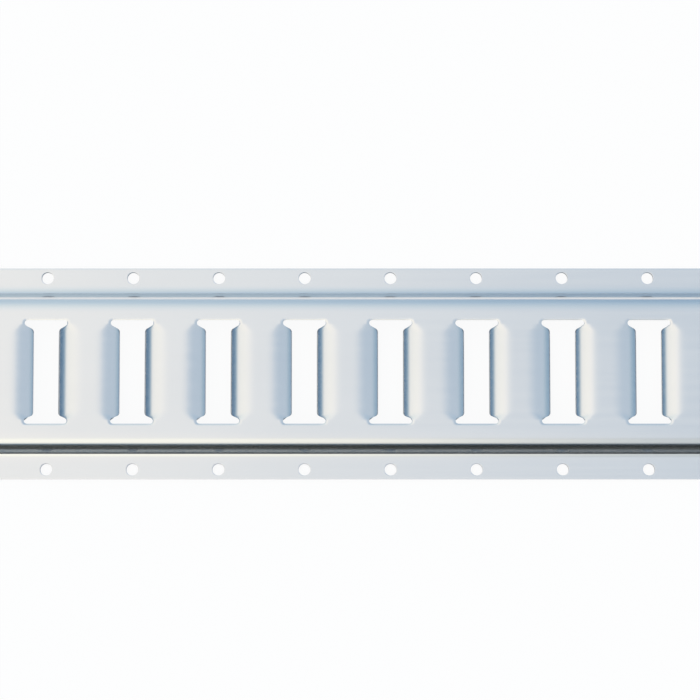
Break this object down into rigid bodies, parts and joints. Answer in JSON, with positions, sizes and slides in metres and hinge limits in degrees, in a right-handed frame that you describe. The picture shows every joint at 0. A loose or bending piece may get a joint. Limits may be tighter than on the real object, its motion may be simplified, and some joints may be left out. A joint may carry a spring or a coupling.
{
  "type": "horizontal e-track rail",
  "caption": "Straight length of rolled galvanised steel track with a raised face, a row of pressed cross slots for tie-down fittings, and flat flanges with screw holes.",
  "frame": {"origin": "middle of the length and the width, in the plane of the flange backs", "axes": "+X along the length, +Y across the track along the slots, +Z out of the face"},
  "size_m": [0.6096, 0.1254, 0.0127],
  "materials": {
    "galvanised_steel": "smooth bright zinc galvanising, satin, with faint streaks along the length"
  },
  "bodies": {
    "root": {"track": "galvanised_steel"}
  },
  "joints": []
}
